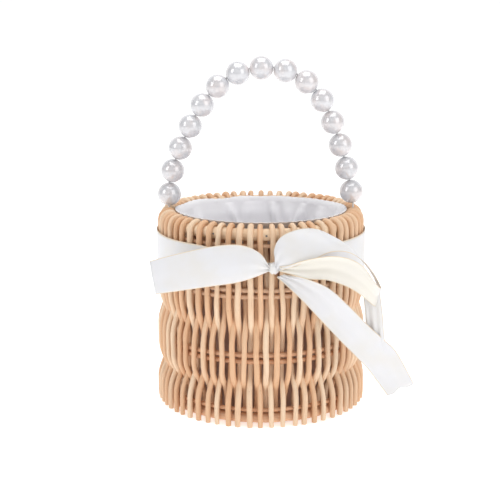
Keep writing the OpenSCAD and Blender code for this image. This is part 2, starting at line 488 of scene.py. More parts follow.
@dataclass(frozen=True)
class Steel(Finish):
    """Drawn wire or a brad: grey metal with drawing marks and dull spots."""

    bright: Colour
    dull: Colour
    rough: float = 0.22
    fixed = {"Metallic": 1.0}

    def dress(self, net: Net) -> dict[str, Wire]:
        """Wires the marks."""
        spots = net.noise(net.place((900, 900, 900)), 1.0, 4)
        lines = net.noise(net.place((2600, 300, 300)), 1.0, 2)
        return {
            "Base Color": net.mix(spots.ramp(0.45, 0.7), self.bright, self.dull),
            "Roughness": self.rough + spots * 0.25,
            "Normal": net.bump(lines, 0.00002),
        }


@dataclass(frozen=True)
class Paper(Finish):
    """The seamless white floor."""

    white: Colour = (0.93, 0.93, 0.935)
    fixed = {
        "Specular IOR Level": 0.1,
        "Emission Strength": 0.52,
        "Emission Color": (1.0, 1.0, 1.0),
    }

    def dress(self, net: Net) -> dict[str, Wire]:
        """Wires a faint fibre."""
        fibre = net.noise(net.place((300, 300, 300)), 1.0, 3)
        rest = tuple(v * 0.985 for v in self.white)
        return {
            "Base Color": net.mix(fibre, self.white, rest),
            "Roughness": 0.8 + fibre * 0.1,
        }


class Palette:
    """Every material, made once."""

    def __init__(self) -> None:
        """Builds the materials."""
        self.willow = Willow(
            srgb(246, 220, 190), srgb(230, 184, 144), srgb(182, 120, 80), 0.6
        ).make("willow")
        self.hoop = Willow(
            srgb(240, 204, 172), srgb(226, 176, 138), srgb(176, 114, 78)
        ).make("hoop_willow")
        self.rim = Willow(
            srgb(252, 234, 208), srgb(244, 214, 178), srgb(200, 150, 104), 0.4
        ).make("rim_willow")
        self.plywood = Plywood().make("plywood")
        self.cotton = Cotton().make("cotton")
        self.satin = Satin().make("satin")
        self.pearl = Pearl().make("pearl")
        self.wire = Steel((0.72, 0.72, 0.73), (0.5, 0.5, 0.5)).make("wire_steel")
        self.brad = Steel((0.3, 0.29, 0.28), (0.16, 0.15, 0.14), 0.4).make("brad_steel")


# --------------------------------------------------------------- mesh builders


def mesh_piece(
    name: str,
    points: np.ndarray,
    faces: Sequence[Sequence[int]],
    material: Any,
    uvs: np.ndarray | None = None,
    **layers: np.ndarray,
) -> bpy.types.Object:
    """Makes a smooth-shaded piece.

    Args:
        name: The piece's name.
        points: One row of x, y, z for each vertex.
        faces: Corners of each face.
        material: Its material.
        uvs: Two numbers for each vertex.
        layers: Named numbers for each vertex.

    Returns:
        The piece, linked to the scene.
    """
    mesh = bpy.data.meshes.new(name)
    mesh.from_pydata([tuple(p) for p in points], [], [tuple(f) for f in faces])
    mesh.polygons.foreach_set("use_smooth", [True] * len(mesh.polygons))
    if uvs is not None:
        corners = np.zeros(len(mesh.loops), int)
        mesh.loops.foreach_get("vertex_index", corners)
        flat = np.asarray(uvs, np.float32)[corners]
        mesh.uv_layers.new(name="UVMap").data.foreach_set("uv", flat.ravel())
    for layer, values in layers.items():
        data = mesh.attributes.new(layer, "FLOAT", "POINT").data
        data.foreach_set("value", np.asarray(values, np.float32).ravel())
    mesh.materials.append(material)
    mesh.validate()
    piece = bpy.data.objects.new(name, mesh)
    bpy.context.scene.collection.objects.link(piece)
    return piece


def quads(rows: int, columns: int, wrap: bool = False) -> list[list[int]]:
    """Faces of a grid of points, row after row.

    Args:
        rows: Rows of points.
        columns: Points in a row.
        wrap: Whether the last point of a row joins its first.

    Returns:
        The faces.
    """
    last = columns if wrap else columns - 1
    return [
        [
            r * columns + c,
            r * columns + (c + 1) % columns,
            (r + 1) * columns + (c + 1) % columns,
            (r + 1) * columns + c,
        ]
        for r in range(rows - 1)
        for c in range(last)
    ]


def spline(keys: Sequence[Sequence[float]], count: int, fineness: int = 24) -> np.ndarray:
    """A smooth curve through key rows, evenly spaced by its first three columns.

    Args:
        keys: Rows of numbers to pass through.
        count: Rows to return.
        fineness: Steps between two key rows while it is measured.

    Returns:
        The rows on the curve.
    """
    rows = np.array(keys, float)
    ends = np.vstack([2 * rows[0] - rows[1], rows, 2 * rows[-1] - rows[-2]])
    fine = []
    for i in range(1, len(ends) - 2):
        a, b, c, d = ends[i - 1 : i + 3]
        for t in np.linspace(0, 1, fineness, endpoint=False):
            second = 2 * a - 5 * b + 4 * c - d
            third = 3 * b - a - 3 * c + d
            fine.append(0.5 * (2 * b + (c - a) * t + second * t**2 + third * t**3))
    fine.append(rows[-1])
    fine = np.array(fine)
    steps = np.linalg.norm(np.diff(fine[:, :3], axis=0), axis=1)
    run = np.concatenate([[0], np.cumsum(steps)])
    at = np.linspace(0, run[-1], count)
    return np.stack([np.interp(at, run, fine[:, k]) for k in range(fine.shape[1])], axis=1)


def tube(
    name: str,
    path: np.ndarray,
    radii: np.ndarray,
    material: Any,
    sides: int,
    grain: float,
) -> bpy.types.Object:
    """A rod along a path, with flat ends.

    Args:
        name: The piece's name.
        path: Points of its middle line.
        radii: Radius at each point.
        material: Its material.
        sides: Sides of its section.
        grain: The rod's own number, for its tone.

    Returns:
        The piece.
    """
    n = len(path)
    ahead = np.gradient(path, axis=0)
    ahead /= np.linalg.norm(ahead, axis=1)[:, None]
    side = np.cross(ahead, [0.0, 0.0, 1.0])
    side /= np.linalg.norm(side, axis=1)[:, None]
    up = np.cross(side, ahead)
    turn = np.arange(sides) * TAU / sides
    ring = side[:, None] * np.cos(turn)[None, :, None]
    ring = ring + up[:, None] * np.sin(turn)[None, :, None]
    points = (path[:, None] + ring * radii[:, None, None]).reshape(-1, 3)
    run = np.concatenate([[0], np.cumsum(np.linalg.norm(np.diff(path, axis=0), axis=1))])
    along = np.repeat(run, sides)
    around = np.tile(np.arange(sides) / sides, n)
    faces = [f[::-1] for f in quads(n, sides, True)]
    faces.append(list(range(sides)))
    faces.append([(n - 1) * sides + c for c in range(sides)][::-1])
    tone = np.full(len(points), grain)
    layers = {"along": along, "around": around, "grain_id": tone}
    piece = mesh_piece(name, points, faces, material, None, **layers)
    point_outwards(piece)
    return piece


def point_outwards(piece: bpy.types.Object, weld: float = 0.0) -> None:
    """Turns a closed piece's faces outwards.

    Args:
        piece: The piece.
        weld: Points this close become one first, or 0 to keep them all.
    """
    work = bmesh.new()
    work.from_mesh(piece.data)
    if weld:
        bmesh.ops.remove_doubles(work, verts=work.verts, dist=weld)
    bmesh.ops.recalc_face_normals(work, faces=work.faces)
    work.to_mesh(piece.data)
    work.free()


def cloth(
    name: str,
    grid: np.ndarray,
    thickness: float,
    material: Any,
    wrap: bool = False,
    selvedge: float = 0.0,
    painted_warm_reflection: Sequence[float] = (),
) -> bpy.types.Object:
    """A sheet of cloth as a thin closed shell.

    Args:
        name: The piece's name.
        grid: Points by row along the sheet, column across it.
        thickness: The cloth's thickness.
        material: Its material.
        wrap: Whether the last row joins the first.
        selvedge: Width of the edge that is marked for the shader, or 0.
        painted_warm_reflection: Share of painted warm reflection in each row, for the shader.

    Returns:
        The piece.
    """
    rows, columns = grid.shape[:2]
    if wrap:
        run = np.roll(grid, -1, 0) - np.roll(grid, 1, 0)
    else:
        run = np.gradient(grid, axis=0)
    face = np.cross(run, np.gradient(grid, axis=1))
    face /= np.maximum(np.linalg.norm(face, axis=2), 1e-12)[:, :, None]
    sides = [grid + face * thickness / 2, grid - face * thickness / 2]
    points = np.concatenate([s.reshape(-1, 3) for s in sides])
    steps = np.linalg.norm(np.diff(grid, axis=0), axis=2).mean(axis=1)
    along = np.concatenate([[0], np.cumsum(steps)])
    widths = np.linalg.norm(np.diff(grid, axis=1), axis=2)
    across = np.concatenate([np.zeros((rows, 1)), np.cumsum(widths, axis=1)], axis=1)
    uv = np.stack([across, np.repeat(along[:, None], columns, 1)], axis=2).reshape(-1, 2)
    share = np.linspace(0, 1, columns)
    near = np.minimum(share, 1 - share)[None] * across[:, -1:]
    edge = 1 - np.clip(near / selvedge, 0, 1) if selvedge else np.zeros((rows, columns))
    total = rows * columns
    faces = []
    last = rows if wrap else rows - 1
    for r in range(last):
        s = (r + 1) % rows
        for c in range(columns - 1):
            quad = [r * columns + c, r * columns + c + 1, s * columns + c + 1, s * columns + c]
            faces.append(quad)
            faces.append([total + q for q in reversed(quad)])
        for c in (0, columns - 1):
            low, high = r * columns + c, s * columns + c
            faces.append([low, high, total + high, total + low])
    if not wrap:
        for r in (0, rows - 1):
            for c in range(columns - 1):
                low, high = r * columns + c, r * columns + c + 1
                faces.append([low, high, total + high, total + low])
    # painted warm reflection: share of the warm colour in each row
    tint = np.repeat(np.asarray(painted_warm_reflection) if len(painted_warm_reflection) else np.zeros(rows), columns)
    marks = {"edge": np.tile(edge.ravel(), 2), "painted_warm_reflection": np.tile(tint, 2)}
    # under is 1 on the first face; on the lining wall that is the outer face, which the cotton shader
    # paints with shade
    marks["under"] = np.repeat([1.0, 0.0], total)
    piece = mesh_piece(name, points, faces, material, np.tile(uv, (2, 1)), **marks)
    point_outwards(piece)
    return piece


def settle(piece: bpy.types.Object, slot: Slot, *nodes: str, body: str = BASKET) -> None:
    """Puts a finished piece on its body.

    Args:
        piece: The piece.
        slot: The record's material slot, not used.
        nodes: CAD nodes that it stands for.
        body: The CAD body that it rides on.
    """
    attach(piece, body)
    if nodes:
        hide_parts(*nodes)
    LOG.info("%s rides on %s, %d faces", piece.name, body, len(piece.data.polygons))


# ----------------------------------------------------------------- the basket


@dataclass
class Ring:
    """A hoop's place, read from its CAD node."""

    radius: float
    rod: float
    height: float

    @classmethod
    def of(cls, node: str) -> "Ring":
        """Reads a hoop's box.

        Args:
            node: The hoop's CAD node.

        Returns:
            Its middle radius, rod diameter and height.
        """
        low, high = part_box(node)
        rod = high.z - low.z
        return cls(high.x - rod / 2, rod, (high.z + low.z) / 2)


@dataclass
class StakeRoute:
    """The line of one stake in the radial plane, as pairs of radius and height."""

    stake: float = 3.9 * MM
    bend: float = 8.0 * MM
    wrap_deg: float = 148.0
    rim: Ring = field(default_factory=lambda: Ring.of("rim_hoop"))
    upper: Ring = field(default_factory=lambda: Ring.of("upper_hoop_top"))
    lower: Ring = field(default_factory=lambda: Ring.of("lower_hoop_top"))
    base: Ring = field(default_factory=lambda: Ring.of("base_hoop"))

    def __post_init__(self) -> None:
        """Finds the middles of the two pairs of waist hoops."""
        self.upper_mid = (self.upper.height + Ring.of("upper_hoop_bottom").height) / 2
        self.lower_mid = (self.lower.height + Ring.of("lower_hoop_bottom").height) / 2

    def outer(self, ring: Ring) -> float:
        """Radius of a stake that lies outside a hoop."""
        return ring.radius + ring.rod / 2 + self.stake / 2

    def inner(self, ring: Ring) -> float:
        """Radius of a stake that lies inside a hoop."""
        return ring.radius - ring.rod / 2 - self.stake / 2

    def radius(self, z: float, starts_outside: bool) -> float:
        """Radius of the stake at a height.

        Args:
            z: The height.
            starts_outside: Whether its foot is outside the base hoop.

        Returns:
            The radius.
        """
        foot, low, high, top = self.base, self.lower, self.upper, self.rim
        first, second = (self.outer, self.inner) if starts_outside else (self.inner, self.outer)
        edge = self.outer(self.rim) if starts_outside else self.inner(self.rim)
        stops = [
            (0.0, first(foot)),
            (16 * MM, first(foot)),
            (self.lower_mid - self.bend, second(low)),
            (self.lower_mid + self.bend, second(low)),
            (self.upper_mid - self.bend, first(high)),
            (self.upper_mid + self.bend, first(high)),
            (top.height - top.rod, edge),
            (top.height, edge),
        ]
        for (z0, r0), (z1, r1) in zip(stops, stops[1:]):
            if z <= z1:
                return r0 + (r1 - r0) * smooth((z - z0) / (z1 - z0))
        return edge

    def line(self, starts_outside: bool, top: float, steps: int = 34) -> list[tuple]:
        """Points from the ground to a height.

        Args:
            starts_outside: Whether its foot is outside the base hoop.
            top: Where the upright stretch ends.
            steps: Points on the upright stretch.

        Returns:
            Radius and height of each point.
        """
        heights = np.linspace(0.0, top, steps)
        return [(self.radius(z, starts_outside), z) for z in heights]

    def wrapped(self) -> list[tuple]:
        """A stake that goes up outside and over the rim hoop."""
        bend = self.rim.rod / 2 + self.stake * 0.42
        arc = [
            (self.rim.radius + bend * math.cos(a), self.rim.height + bend * math.sin(a))
            for a in np.radians(np.linspace(14, self.wrap_deg, 10))
        ]
        return self.line(True, self.rim.height - 1 * MM) + arc


def as_curve(name: str, line: Sequence[tuple]) -> bpy.types.Object:
    """Makes a poly curve in the XZ plane.

    Args:
        name: Name of the curve object.
        line: Radius and height of each point.

    Returns:
        The curve object, not linked to the scene.
    """
    data = bpy.data.curves.new(name, "CURVE")
    data.dimensions = "3D"
    run = data.splines.new("POLY")
    run.points.add(len(line) - 1)
    for point, (r, z) in zip(run.points, line):
        point.co = (r, 0, z, 1)
    return bpy.data.objects.new(name, data)


def open_tree(name: str, kinds: dict[str, str]) -> tuple[Net, dict[str, Wire]]:
    """Starts a Geometry Nodes tree.

    Args:
        name: Its name.
        kinds: Kind of each input, by name: Object, Int, Float, Bool or Material.

    Returns:
        The tree and a Wire for each input.
    """
    tree = bpy.data.node_groups.new(name, "GeometryNodeTree")
    for label, kind in kinds.items():
        tree.interface.new_socket(label, in_out="INPUT", socket_type="NodeSocket" + kind)
    tree.interface.new_socket("Geometry", in_out="OUTPUT", socket_type="NodeSocketGeometry")
    net = Net(tree)
    source = net.put("NodeGroupInput", {}, {})
    return net, {label: Wire(net, source.outputs[label]) for label in kinds}


def close_tree(net: Net, shape: Wire, finish: Wire) -> bpy.types.NodeTree:
    """Gives a tree's shape its material and its way out.

    Args:
        net: The tree.
        shape: The shape.
        finish: The material.

    Returns:
        The finished tree.
    """
    shape = net.add("GeometryNodeSetMaterial", {}, {"Geometry": shape, "Material": finish})
    net.put("NodeGroupOutput", {}, {"Geometry": shape})
    return net.tree


@dataclass
class StakeTree:
    """The Geometry Nodes tree that stands stakes round the basket."""

    sides: int = 11
    knot_share: float = 0.74

    def build(self) -> bpy.types.NodeTree:
        """Builds the tree."""
        kinds = {"Route": "Object", "Count": "Int", "Phase": "Float", "Thickness": "Float"}
        kinds |= {"Uneven": "Float", "Spread": "Float", "Lean": "Float", "Every": "Int"}
        kinds |= {"Keep": "Bool", "Seed": "Int", "Finish": "Material"}
        net, given = open_tree("stakes", kinds)
        rods = self._stand(net, given)
        rods = self._bend(net, given, rods)
        rods = self._thicken(net, given, rods)
        profile = net.add(
            "GeometryNodeCurvePrimitiveCircle", {}, {"Resolution": self.sides, "Radius": 1.0}
        )
        profile = self._store(net, profile, "around", self._factor(net))
        values = {"Curve": rods, "Profile Curve": profile, "Fill Caps": True}
        values["Scale"] = self._attribute(net, "girth")
        solid = net.add("GeometryNodeCurveToMesh", {}, values)
        solid = net.add("GeometryNodeSetShadeSmooth", {}, {"Geometry": solid})
        return close_tree(net, solid, given["Finish"])

    def _factor(self, net: Net) -> Wire:
        """Share of the way along a spline."""
        return net.add("GeometryNodeSplineParameter", {}, {}, "Factor")

    def _attribute(self, net: Net, name: str) -> Wire:
        """Reads a named number."""
        return net.add("GeometryNodeInputNamedAttribute", {"data_type": "FLOAT"}, {"Name": name})

    def _store(
        self, net: Net, shape: Wire, name: str, value: Wire, domain: str = "POINT"
    ) -> Wire:
        """Stores a named number.

        Args:
            net: The tree.
            shape: Geometry that keeps it.
            name: Its name.
            value: The number.
            domain: Where it is kept.

        Returns:
            The geometry.
        """
        settings = {"data_type": "FLOAT", "domain": domain}
        values = {"Geometry": shape, "Name": name, "Value": value}
        return net.add("GeometryNodeStoreNamedAttribute", settings, values)

    def _chance(self, net: Net, seed: Wire, low: float = 0.0, high: float = 1.0) -> Wire:
        """A random number for each stake."""
        settings = {"data_type": "FLOAT"}
        return net.add("FunctionNodeRandomValue", settings, {2: low, 3: high, "Seed": seed}, 1)

    def _stand(self, net: Net, given: dict[str, Wire]) -> Wire:
        """Stands a copy of the route at each place round the wall.

        Args:
            net: The tree.
            given: The tree's inputs.

        Returns:
            The curves, one for each stake.
        """
        index = net.add("GeometryNodeInputIndex", {}, {})
        jitter = self._chance(net, given["Seed"], -1.0, 1.0) * given["Spread"]
        angle = index * TAU / given["Count"] + given["Phase"] + jitter
        points = net.add("GeometryNodePoints", {}, {"Count": given["Count"]})
        points = self._store(net, points, "turn", angle)
        rest = net.add("ShaderNodeMath", {"operation": "MODULO"}, {0: index, 1: given["Every"]})
        special = 1 - rest.over(0.5)
        clash = (special - given["Keep"]).size().over(0.5)
        values = {"Geometry": points, "Selection": clash}
        points = net.add("GeometryNodeDeleteGeometry", {"domain": "POINT"}, values)
        route = net.add("GeometryNodeObjectInfo", {}, {"Object": given["Route"]}, "Geometry")
        heading = net.join(0.0, 0.0, self._attribute(net, "turn"))
        values = {"Points": points, "Instance": route, "Rotation": heading}
        rods = net.add("GeometryNodeInstanceOnPoints", {}, values)
        chance = self._chance(net, given["Seed"] + 7)
        rods = self._store(net, rods, "grain_id", chance, "INSTANCE")
        rods = net.add("GeometryNodeRealizeInstances", {}, {"Geometry": rods})
        length = net.add("GeometryNodeSplineParameter", {}, {}, "Length")
        return self._store(net, rods, "along", length)

    def _bend(self, net: Net, given: dict[str, Wire], rods: Wire) -> Wire:
        """Lets each stake wander sideways a little.

        Args:
            net: The tree.
            given: The tree's inputs.
            rods: The curves.

        Returns:
            The bent curves.
        """
        here = net.add("GeometryNodeInputPosition", {}, {})
        x, y, z = net.split(here)
        grain = self._attribute(net, "grain_id")
        reach = (x * x + y * y) ** 0.5
        slow = net.noise(net.join(grain * 91, z * 17, given["Seed"]), 1.0, 1) - 0.5
        quick = net.noise(net.join(grain * 57, z * 60, given["Seed"] + 3), 1.0, 1) - 0.5
        rise = (z / 0.03).clamp()
        side = (slow * 1.5 + quick * 0.5) * given["Lean"] * (rise * 0.7 + 0.3)
        out = quick * given["Lean"] * 0.16
        move = net.join((x * out - y * side) / reach, (y * out + x * side) / reach, 0.0)
        return net.add("GeometryNodeSetPosition", {}, {"Geometry": rods, "Offset": move})

    def _thicken(self, net: Net, given: dict[str, Wire], rods: Wire) -> Wire:
        """Gives each stake its own girth, a taper and a few knots.

        Args:
            net: The tree.
            given: The tree's inputs.
            rods: The curves.

        Returns:
            The curves with a girth at each point.
        """
        grain = self._attribute(net, "grain_id")
        along = self._attribute(net, "along")
        own = (grain * 53.7).sine() * given["Uneven"]
        wave = (net.noise(net.join(grain * 71, along * 38, 0.0), 1.0, 2) - 0.5) * 0.26
        knot = net.noise(net.join(grain * 33, along * 120, 5.0), 1.0, 0)
        swell = knot.ramp(self.knot_share, self.knot_share + 0.1) * 0.1
        share = self._factor(net)
        tip = 1 - (share - 0.97).clamp() * 12
        foot = 0.9 + (along / 0.002).clamp() * 0.1
        girth = given["Thickness"] * 0.5 * (own + wave + swell + 1.0) * tip * foot
        return self._store(net, rods, "girth", girth)


def grown(name: str, tree: bpy.types.NodeTree, inputs: dict[str, Any]) -> bpy.types.Object:
    """Runs a Geometry Nodes tree and keeps its result as a plain mesh.

    Args:
        name: The piece's name.
        tree: The tree.
        inputs: Value of each named input.

    Returns:
        The piece.
    """
    host = bpy.data.objects.new(name + ".host", bpy.data.meshes.new(name + ".seed"))
    bpy.context.scene.collection.objects.link(host)
    modifier = host.modifiers.new("grow", "NODES")
    modifier.node_group = tree
    sockets = {s.name: s.identifier for s in tree.interface.items_tree if s.in_out == "INPUT"}
    for label, value in inputs.items():
        modifier[sockets[label]] = value
    host.update_tag()
    bpy.context.view_layer.update()
    graph = bpy.context.evaluated_depsgraph_get()
    mesh = bpy.data.meshes.new_from_object(host.evaluated_get(graph))
    host.modifiers.remove(modifier)
    bpy.data.objects.remove(host)
    mesh.name = name
    piece = bpy.data.objects.new(name, mesh)
    bpy.context.scene.collection.objects.link(piece)
    return piece


def lathe(
    name: str, profile: Sequence[tuple], material: Any, segments: int = 48
) -> bpy.types.Object:
    """Turns a closed profile about the Z axis.

    Args:
        name: The piece's name.
        profile: Radius and height of each point, in order round the section.
        material: Its material.
        segments: Steps round the axis.

    Returns:
        The piece.
    """
    turn = np.arange(segments) * TAU / segments
    rings = [
        np.stack([r * np.cos(turn), r * np.sin(turn), np.full(segments, z)], axis=1)
        for r, z in profile
    ]
    points = np.concatenate(rings)
    faces = quads(len(profile), segments, True)
    last = (len(profile) - 1) * segments
    for c in range(segments):
        d = (c + 1) % segments
        faces.append([last + c, last + d, d, c])
    piece = mesh_piece(name, points, faces, material)
    point_outwards(piece, WELD)
    return piece


@dataclass
class Wicker:
    """The willow body: two sets of stakes woven round seven thin hoops and a rim."""

    palette: Palette
    count: int = 60
    thickness: float = 4.12 * MM
    uneven: float = 0.08
    spread_deg: float = 0.45
    lean: float = 3.2 * MM
    route: StakeRoute = field(default_factory=StakeRoute)
    lap_deg: float = 14.0

    def build(self) -> None:
        """Builds every willow piece, the board and the brads."""
        self._stakes()
        self._hoops()
        self._brads()
        self._board()

    def _stakes(self) -> None:
        """Grows the two sets of stakes and the two short ones at the handle."""
        tree = StakeTree().build()
        rim = self.route.rim
        short_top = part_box("handle_wire")[0].z - 0.9 * MM
        half = self.count // 2
        step = math.pi / self.count
        inner = self.route.line(False, rim.height - 1 * MM)
        short = self.route.line(True, short_top)
        kinds = [
            ("stakes_wrapped", self.route.wrapped(), 0.0, half, False, 11, ["wrapped_stakes"]),
            ("stakes_short", short, 0.0, half, True, 11, []),
            ("stakes_inner", inner, step, 1, True, 29, ["inner_stakes"]),
        ]
        for name, line, phase, every, keep, seed, nodes in kinds:
            route = as_curve(name + ".route", line)
            bpy.context.scene.collection.objects.link(route)
            inputs = {
                "Route": route,
                "Count": self.count,
                "Phase": phase,
                "Thickness": self.thickness,
                "Uneven": self.uneven,
                "Spread": math.radians(self.spread_deg),
                "Lean": self.lean,
                "Every": every,
                "Keep": keep,
                "Seed": seed,
                "Finish": self.palette.willow,
            }
            piece = grown(name, tree, inputs)
            bpy.data.objects.remove(route)
            point_outwards(piece)
            settle(piece, Slot.WILLOW, *nodes)

    def _hoops(self) -> None:
        """Bends the hoops, each with its tapered ends lapped over each other."""
        plans = [
            # node, azimuth of the first end, how far it wanders in millimetres
            ("base_hoop", -86.0, 0.35),
            ("foot_hoop", -70.0, 0.5),
            ("lower_hoop_bottom", -20.0, 0.7),
            ("lower_hoop_top", 150.0, 0.7),
            ("upper_hoop_bottom", -60.0, 0.6),
            ("upper_hoop_top", 100.0, 0.6),
            ("under_rim_hoop", 60.0, 0.3),
            ("rim_hoop", 95.0, 0.15),
        ]
        for number, (node, start, stray) in enumerate(plans):
            thick = node == "rim_hoop"
            material = self.palette.rim if thick else self.palette.hoop
            piece = self._hoop(node, start, stray * MM, number, material)
            settle(piece, Slot.RIM if thick else Slot.HOOP, node)

    def _hoop(
        self, node: str, start: float, stray: float, number: int, material: Any
    ) -> bpy.types.Object:
        """Bends one hoop.

        Args:
            node: Its CAD node.
            start: Azimuth of its first end, in degrees.
            stray: How far it wanders up and down.
            number: Its number, which sets its unevenness.
            material: Its material.

        Returns:
            The piece.
        """
        ring = Ring.of(node)
        lap = math.radians(self.lap_deg)
        turn = np.linspace(0, TAU + lap, 150)
        path, radii = [], []
        for t in turn:
            angle = math.radians(start) + t
            into = min(t, TAU + lap - t) / lap
            part = 1 if t < math.pi else -1
            aside = part * ring.rod * 0.22 * (1 - smooth(into * 0.8))
            r = ring.radius + wander(t * 2.3, number, 1) * stray * 0.3
            z = ring.height + wander(t * 1.1, number, 9) * stray + aside
            path.append((r * math.cos(angle), r * math.sin(angle), z))
            swell = 1 + wander(t * 6, number, 4) * 0.05
            radii.append(ring.rod / 2 * swell * (0.5 + 0.5 * smooth(into)))
        name = node + "_rod"
        return tube(name, np.array(path), np.array(radii), material, 14, number * 0.13)

    def _brads(self) -> None:
        """Sets the brads into the rim hoop, midway between two wraps."""
        low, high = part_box("rim_brads")
        rim = self.route.rim
        head = 0.8 * MM
        out = high.x - (rim.radius + rim.rod / 2)
        profile = [(ON_AXIS, out), (head * 0.5, out * 0.85), (head * 0.85, out * 0.5)]
        profile += [(head, 0.0), (head * 0.5, -0.1 * MM), (head * 0.45, -4 * MM), (ON_AXIS, -4.6 * MM)]
        seed = lathe("brad.seed", profile, self.palette.brad, 16)
        inputs = {
            "Copy": seed,
            "Count": 12,
            "Radius": rim.radius + rim.rod / 2,
            "Height": (low.z + high.z) / 2,
            "Phase": math.pi / self.count,
            "Seed": 5,
            "Finish": self.palette.brad,
        }
        piece = grown("rim_brad_set", ring_tree(), inputs)
        bpy.data.objects.remove(seed)
        settle(piece, Slot.BRAD, "rim_brads")

    def _board(self) -> None:
        """Cuts the plywood base with eased edges."""
        low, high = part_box("base_board")
        ease = 0.5 * MM
        profile = [(ON_AXIS, low.z), (high.x * 0.5, low.z), (high.x - ease, low.z)]
        profile += [(high.x, low.z + ease)]
        profile += [(r, low.z + high.z - z) for r, z in reversed(profile)]
        piece = lathe("base_board_ply", profile, self.palette.plywood, 96)
        settle(piece, Slot.PLYWOOD, "base_board")


def ring_tree() -> bpy.types.NodeTree:
    """A Geometry Nodes tree that sets copies of a small part round a hoop.

    Returns:
        The tree.
    """
    kinds = {"Copy": "Object", "Count": "Int", "Radius": "Float", "Height": "Float"}
    kinds |= {"Phase": "Float", "Seed": "Int", "Finish": "Material"}
    net, given = open_tree("ring_of_parts", kinds)
    index = net.add("GeometryNodeInputIndex", {}, {})
    angle = index * TAU / given["Count"] + given["Phase"]
    settings = {"data_type": "FLOAT"}
    chance = {2: -0.06, 3: 0.06, "Seed": given["Seed"]}
    tilt = net.add("FunctionNodeRandomValue", settings, chance, 1)
    where = net.join(
        (angle + math.pi / 2).sine() * given["Radius"],
        angle.sine() * given["Radius"],
        given["Height"],
    )
    points = net.add("GeometryNodePoints", {}, {"Count": given["Count"], "Position": where})
    copy = net.add("GeometryNodeObjectInfo", {}, {"Object": given["Copy"]}, "Geometry")
    turn = net.join(0.0, tilt + math.pi / 2, angle)
    values = {"Points": points, "Instance": copy, "Rotation": turn}
    parts = net.add("GeometryNodeInstanceOnPoints", {}, values)
    parts = net.add("GeometryNodeRealizeInstances", {}, {"Geometry": parts})
    return close_tree(net, parts, given["Finish"])


@dataclass
class Lining:
    """The cotton lining: a gathered wall, hemmed over the rim, and a floor."""

    palette: Palette
    cloth_t: float = 0.4 * MM
    fold_depth: float = 5.5 * MM
    hem_deg: float = 104.0
    hem_drop: float = 44.0
    wraps: int = 60
    creases: tuple[tuple[float, float, float, float], ...] = (
        # azimuth, slope, width in degrees, depth share
        (116, -40, 3, 1.0),
        (100, 12, 5, 0.4),
        (82, -36, 3.4, 1.0),
        (71, -24, 3.8, 0.7),
        (56, 40, 3.4, 0.9),
        (38, 8, 6, 0.6),
        (14, -6, 6, 0.7),
        (-10, 9, 6, 0.8),
        (-36, -8, 7, 0.8),
        (-62, 10, 6, 0.8),
        (-90, -9, 7, 0.8),
        (-118, 10, 6, 0.8),
        (-148, -9, 6, 0.9),
        (176, 12, 6, 0.8),
        (148, -8, 5, 0.7),
    )

    def build(self) -> None:
        """Hangs the wall and lays the floor."""
        rim = Ring.of("rim_hoop")
        low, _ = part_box("lining_wall")
        out = rim.rod / 2 + 4.2 * MM
        wall = self._wall(rim, low.z, out)
        settle(wall, Slot.LINING, "lining_wall")
        floor = self._floor()
        settle(floor, Slot.LINING, "lining_floor")

    def _fold(self, azimuth: float, share: float) -> float:
        """How far the wall stands in at a place.

        Args:
            azimuth: Degrees round the basket.
            share: 0 at the floor, 1 at the rim.

        Returns:
            The distance inwards.
        """
        depth = 0.0
        for centre, slope, width, part in self.creases:
            off = (azimuth - centre - slope * (1 - share) + 180) % 360 - 180
            ridge = math.exp(-((off / width) ** 2)) - 0.35 * math.exp(-(((off - width) / width) ** 2))
            depth += part * ridge
        rise = smooth(share / 0.12) * (1 - 0.85 * smooth((share - 0.93) / 0.07))
        ripple = 0.35 + 0.35 * wander(azimuth / 14, share * 1.6, 2)
        return self.fold_depth * (max(depth, 0.0) * 0.85 + ripple) * rise

    def _wall(self, rim: Ring, bottom: float, out: float) -> bpy.types.Object:
        """Makes the wall and its hem.

        Args:
            rim: The rim hoop.
            bottom: Height of the wall's foot.
            out: Distance from the hoop's middle to the cloth on the wraps.

        Returns:
            The piece.
        """
        rows, steps, hem = 360, 56, 9
        grid = np.zeros((rows, steps + hem, 3))
        for i in range(rows):
            azimuth = 360 * i / rows
            a = math.radians(azimuth)
            pull = 0.5 + 0.5 * math.cos(self.wraps * a)
            sag = wander(azimuth / 22, 3.0, 7.0)
            line = []
            for k in range(steps):
                share = k / (steps - 1)
                z = bottom + self.cloth_t / 2 + (rim.height - bottom) * share
                line.append((rim.radius - out - self._fold(azimuth, share), z))
            behind = 0.5 + 0.5 * math.sin(a)
            end = self.hem_deg + self.hem_drop * behind + (3 + 9 * behind) * sag + 3 * pull
            for k in range(hem):
                angle = math.radians(180 + (end - 180) * (k + 1) / hem)
                reach = out - 0.45 * MM * (1 - pull) * (k / hem) + 0.3 * MM
                r = rim.radius + reach * math.cos(angle)
                line.append((r, rim.height + reach * math.sin(angle)))
            for k, (r, z) in enumerate(line):
                grid[i, k] = (r * math.cos(a), r * math.sin(a), z)
        return cloth("lining_wall_cloth", grid, self.cloth_t, self.palette.cotton, wrap=True)

    def _floor(self) -> bpy.types.Object:
        """Lays the round floor cloth with a few soft wrinkles."""
        low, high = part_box("lining_floor")
        n = 56
        grid = np.zeros((n, n, 3))
        for i, u in enumerate(np.linspace(1, -1, n)):
            for j, v in enumerate(np.linspace(-1, 1, n)):
                x = u * math.sqrt(1 - v * v / 2) * high.x
                y = v * math.sqrt(1 - u * u / 2) * high.x
                lift = 0.6 * MM * abs(wander(x * 38 + y * 11, y * 30 - x * 8, 1.5))
                grid[i, j] = (x, y, low.z + self.cloth_t / 2 + lift)
        return cloth("lining_floor_cloth", grid, self.cloth_t, self.palette.cotton)


